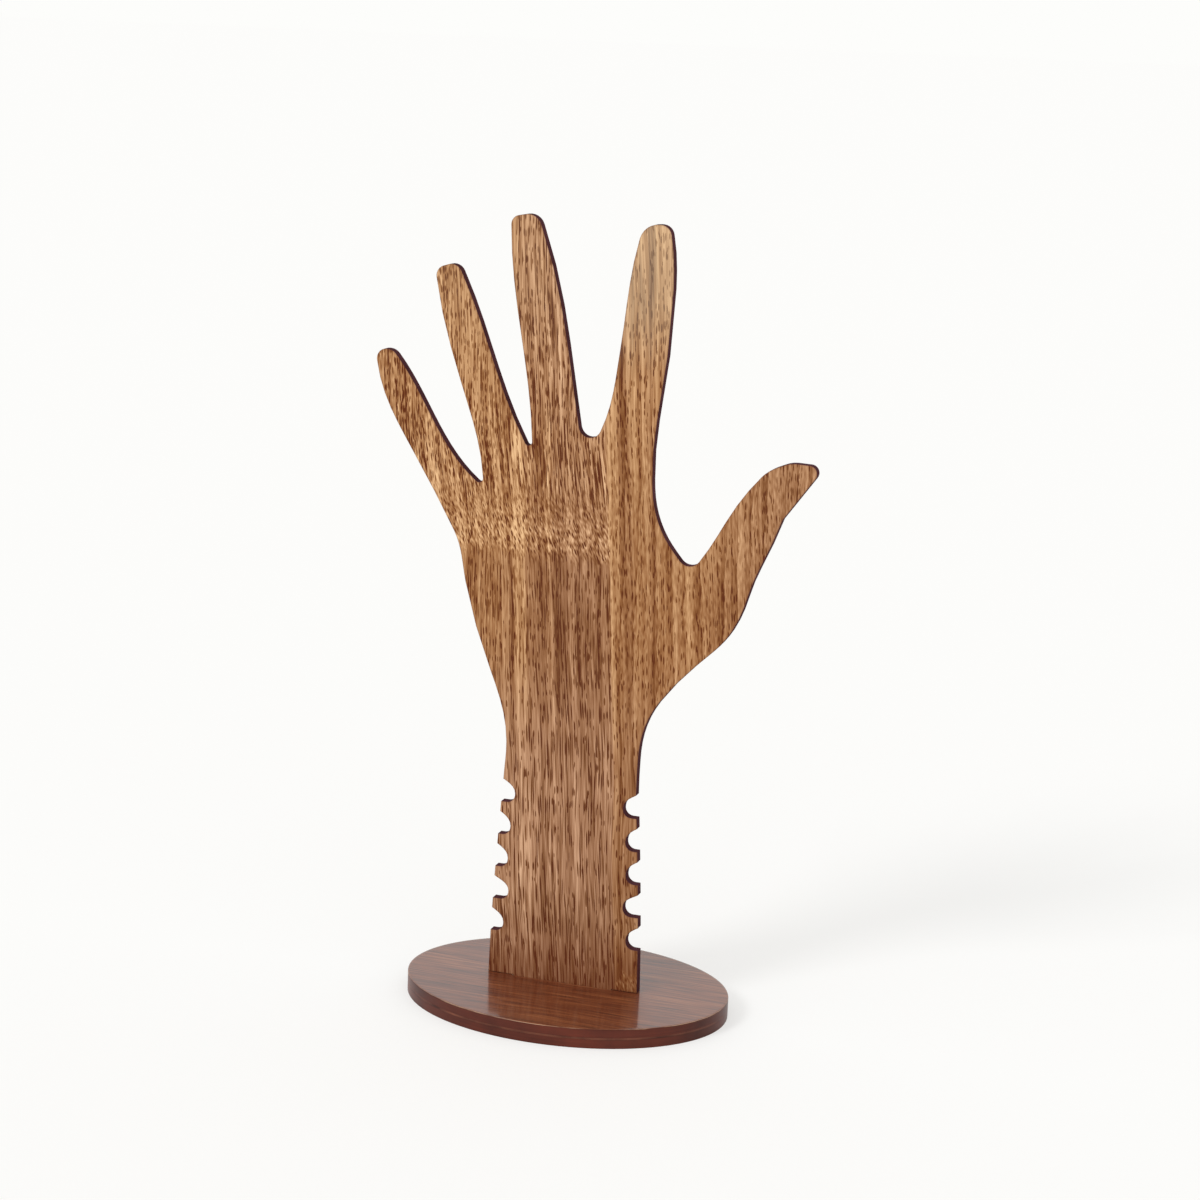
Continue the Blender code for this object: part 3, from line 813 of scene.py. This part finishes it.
def stained_edge(name, dark, pale, cloth_scale, contrast):
    """Wiped and lacquered edge. cloth_scale is the size of the marks along the edge, per metre."""
    material, tree = new_material(name)
    place = add_node(tree, "TexCoord", output="Object")
    # lines about 0.7 mm apart and 40 mm long
    level = add_node(tree, "VectorMath", [place, (25.0, 25.0, 1400.0)], operation="MULTIPLY")
    layers = add_node(tree, "TexNoise", {"Vector": level, "Scale": 1.0, "Detail": 3.0})
    marks = add_node(tree, "TexNoise", {"Vector": place, "Scale": cloth_scale, "Detail": 4.0})
    tone = add_node(tree, "Math", [layers, 0.5, marks], operation="MULTIPLY_ADD")
    share = add_node(tree, "MapRange", [tone, 0.75 - contrast, 0.75 + contrast])
    colour = add_node(tree, "Mix", [share, dark, pale], data_type="RGBA")
    relief = add_node(tree, "Bump", {"Height": layers, "Strength": 0.3, "Distance": 0.04 * MM})
    look = {"Base Color": colour, "Roughness": STAIN_ROUGHNESS, "IOR": STAIN_IOR, "Normal": relief}
    add_node(tree, "OutputMaterial", [add_node(tree, "BsdfPrincipled", look)])
    return material


base_edge = stained_edge("stained board edge", "#3c160c", "#682c1b", 60.0, 0.30)
lining_edge = stained_edge("veneer edge between boards", "#431c12", "#7d4834", 90.0, 0.20)
# pale rim on the bevel: partly wear, partly a painted highlight
worn_and_highlit_rim = stained_edge("worn rim of the base", "#5a2a1a", "#c9a688", 110.0, 0.12)
print("edge finishes:", base_edge.name + ",", lining_edge.name + ",", worn_and_highlit_rim.name)

# %% [markdown]
# The base's veneer is a darker, redder walnut under clear lacquer. Lacquer is a second, smooth layer on
# top of the wood: the Principled shader's coat. Seen at a low angle it mirrors what stands on it, so
# the front of the base shows the wrist's reflection, and its ends shine pale with the studio's white.


# %% Lacquered base veneer
BASE_FIBRES = [(9.0, 70.0, 0.04), (4.0, 45.0, 0.06), (1.8, 30.0, 0.09), (0.9, 18.0, 0.18)]
BASE_PORE = (0.7, 9.0)
BASE_TONES = [(0.0, "#3c180c"), (0.35, "#632e18"), (0.6, "#7c4224"), (1.0, "#a2663f")]
# pale band inside the rim: partly wear of the lacquer, partly a painted highlight
WORN_AND_HIGHLIT_TONE = "#8a5a40"

# Lacquer has an IOR of about 1.5. Rubbed down a little, as here, it mirrors somewhat less.
LACQUER_IOR = 1.42
LACQUER_ROUGHNESS = 0.12


def lacquered_veneer(name):
    """Red-brown walnut with its grain along the base's length, under clear lacquer."""
    material, tree = new_material(name)
    place = add_node(tree, "TexCoord", output="Object")
    mm = add_node(tree, "VectorMath", [place, (1000.0, 1000.0, 1000.0)], operation="MULTIPLY")
    axes = add_node(tree, "SeparateXYZ", [mm]).node.outputs
    x, y = axes["X"], axes["Y"]
    drift = grain_cloud(tree, y, x, 30.0, 90.0, 1.0, 4.0)
    across = weighed_up(tree, (y, 1.0), (drift, 2.2))
    fibres = fibres_of(tree, across, x, BASE_FIBRES, 5.0)
    pores = pores_of(tree, across, x, BASE_PORE, 0.45, 61.0)
    lightness = weighed_up(tree, (fibres, 1.0), (pores, -0.24), (1.0, 0.49))
    colour = add_node(tree, "ValToRGB", [lightness], stops=BASE_TONES)
    # the band at the rim is paler: partly wear of the lacquer, partly a painted highlight
    near_cut = add_node(tree, "Attribute", output="Fac", attribute_name="browned")
    worn_and_highlit = add_node(tree, "Math", [near_cut, 3.0], operation="POWER")
    worn_and_highlit_share = add_node(tree, "Math", [worn_and_highlit, 0.5], operation="MULTIPLY")
    colour = add_node(tree, "Mix", [worn_and_highlit_share, colour, WORN_AND_HIGHLIT_TONE], data_type="RGBA")
    relief = add_node(tree, "Bump", {"Height": fibres, "Strength": 0.2, "Distance": 0.05 * MM})
    look = {
        "Base Color": colour,
        "Roughness": 0.5,
        "IOR": 1.3,
        "Coat Weight": 1.0,
        "Coat Roughness": LACQUER_ROUGHNESS,
        "Coat IOR": LACQUER_IOR,
        "Normal": relief,
    }
    add_node(tree, "OutputMaterial", [add_node(tree, "BsdfPrincipled", look)])
    return material


base_veneer = lacquered_veneer("lacquered walnut veneer")
print("lacquered veneer uses", len(base_veneer.node_tree.nodes), "nodes")

# %% [markdown]
# A veneer shows wood on its face and a cut surface on its edge, so it has several materials. Faces are
# sorted by their normal: those that look straight out of the sheet keep the wood, those that look
# sideways get the cut edge, and on the base's top the tiny bevel between them gets the pale rim, partly
# wear and partly a painted highlight.


# %% Dressing the layers
def dress_edges(piece, axis, bevel_slot):
    """The second material for faces that look sideways, and the one in bevel_slot for a bevel."""
    for polygon in piece.data.polygons:
        outward = abs(polygon.normal[axis])
        if outward < OUTWARD:
            polygon.material_index = 1 if outward < SIDEWAYS else bevel_slot


ACROSS_HAND, ACROSS_BASE = 1, 2
for piece, wood in ((hand_front, walnut_front), (hand_back, walnut_back)):
    finish_layer(piece, [wood, hand_char])
    dress_edges(piece, ACROSS_HAND, 1)
finish_layer(hand_middle, [hand_char])
finish_layer(base_top, [base_veneer, base_edge, worn_and_highlit_rim])
dress_edges(base_top, ACROSS_BASE, 2)
finish_layer(base_under, [base_veneer, base_edge])
dress_edges(base_under, ACROSS_BASE, 1)
for piece in base_boards.values():
    finish_layer(piece, [base_edge])
for piece in base_hidden.values():
    finish_layer(piece, [lining_edge])
print("layers dressed")

# %% [markdown]
# Last, each piece takes the place of the solid it stands for, whose own copy is hidden, and rides on
# the body it moves with. The three layers of the hand lift out together, and the base stays.

# %% Putting the pieces on their bodies
stand_for = {
    "hand_front_veneer": (hand_front, "hand", "hand_veneer"),
    "hand_back_veneer": (hand_back, "hand", "hand_veneer"),
    "hand_core": (hand_middle, "hand", "board_core"),
    "base_upper_top_veneer": (base_top, "base", "base_veneer"),
    "base_lower_bottom_veneer": (base_under, "base", "base_veneer"),
}
for node, piece in base_boards.items():
    stand_for[node] = (piece, "base", "board_core")
for node, piece in base_hidden.items():
    stand_for[node] = (piece, "base", "base_veneer")
for node, (piece, body, slot) in stand_for.items():
    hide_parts(node)
    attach(piece, body)
print(len(stand_for), "pieces ride")
